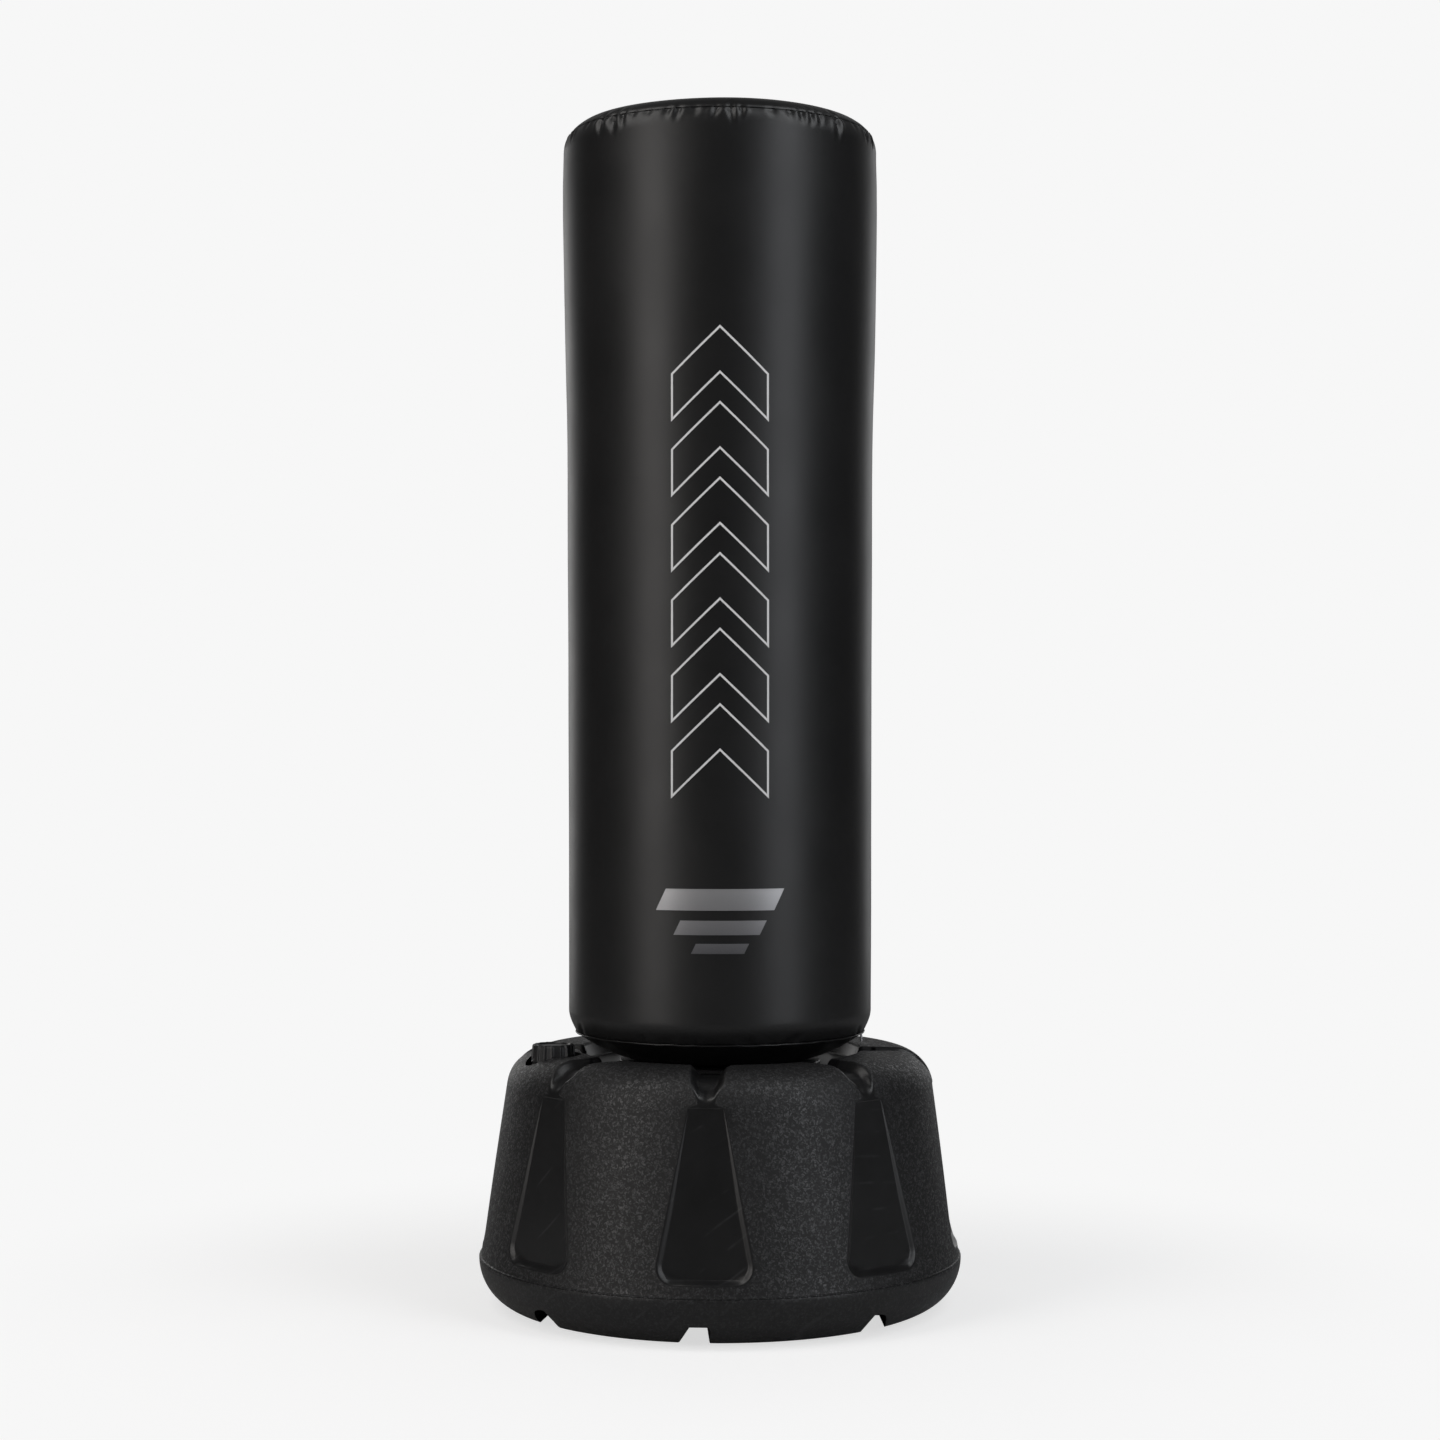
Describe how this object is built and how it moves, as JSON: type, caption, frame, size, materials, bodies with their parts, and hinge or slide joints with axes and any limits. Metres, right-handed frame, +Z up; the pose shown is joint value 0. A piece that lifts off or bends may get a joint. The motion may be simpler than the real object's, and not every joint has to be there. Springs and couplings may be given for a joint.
{
  "type": "free-standing punching bag",
  "caption": "Free-standing heavy punching bag: a padded vinyl cylinder on a plastic core, standing in a round hollow ballast base with a screw fill cap.",
  "frame": {"origin": "middle of the base's underside, on the floor", "axes": "+Z up along the bag's axis, -Y towards the printed face, +X to the right seen from the printed face"},
  "size_m": [0.717, 0.717, 1.757],
  "materials": {
    "tank_plastic": "matte",
    "cap_plastic": "satin",
    "gasket_rubber": "matte",
    "core_plastic": "satin",
    "screw_steel": "satin",
    "cover_vinyl": "satin",
    "seam_tape": "matte",
    "foam": "matte",
    "zip_tape": "matte",
    "zip_nylon": "satin",
    "zip_metal": "satin"
  },
  "bodies": {
    "base": {"base_tank": "tank_plastic", "fill_neck": "tank_plastic"},
    "core": {"core_tube": "core_plastic", "core_foot_plug": "core_plastic", "core_top_cap": "core_plastic", "core_collar": "core_plastic", "collar_screws": "screw_steel"},
    "bag": {"side_cover": "cover_vinyl", "top_cover": "cover_vinyl", "bottom_cover": "cover_vinyl", "top_seam_tape": "seam_tape", "back_seam_tape": "seam_tape", "bottom_hole_binding": "seam_tape", "bottom_seam_welt": "cover_vinyl", "outer_foam": "foam", "inner_foam": "foam", "top_foam_pad": "foam", "bottom_foam_ring": "foam", "zipper_tape": "zip_tape", "zipper_coil": "zip_nylon", "zip_stops": "zip_metal"},
    "zip_slider": {"zip_slider": "zip_metal"},
    "zip_pull": {"zip_pull": "zip_metal"},
    "fill_gasket": {"fill_gasket": "gasket_rubber"},
    "fill_cap": {"fill_cap": "cap_plastic"}
  },
  "joints": [
    {"name": "core_lift", "type": "slide", "parent": "base", "child": "core", "axis": [0, 0, 1], "range_m": [0, 0.31]},
    {"name": "bag_turn", "type": "hinge", "parent": "core", "child": "bag", "pos_m": [0, 0, 1], "axis": [0, 0, 1], "continuous": true},
    {"name": "cap_lift", "type": "slide", "parent": "base", "child": "fill_gasket", "axis": [0, 0, 1], "range_m": [0, 0.03]},
    {"name": "cap_turn", "type": "hinge", "parent": "fill_gasket", "child": "fill_cap", "pos_m": [-0.24394, -0.084, 0.375], "axis": [0, 0, 1], "range_deg": [0, 1801]},
    {"name": "zip_travel", "type": "hinge", "parent": "bag", "child": "zip_slider", "pos_m": [0, 0, 0.4], "axis": [0, 0, 1], "range_deg": [0, 148]},
    {"name": "zip_pull_swing", "type": "hinge", "parent": "zip_slider", "child": "zip_pull", "pos_m": [0.21404, 0.06138, 0.39591], "axis": [-0.2756, 0.9613, 0], "range_deg": [-95, 35]}
  ],
  "couplings": [
    {"joint": "cap_turn", "follows": "cap_lift", "rad_per_m": 1047.2}
  ]
}
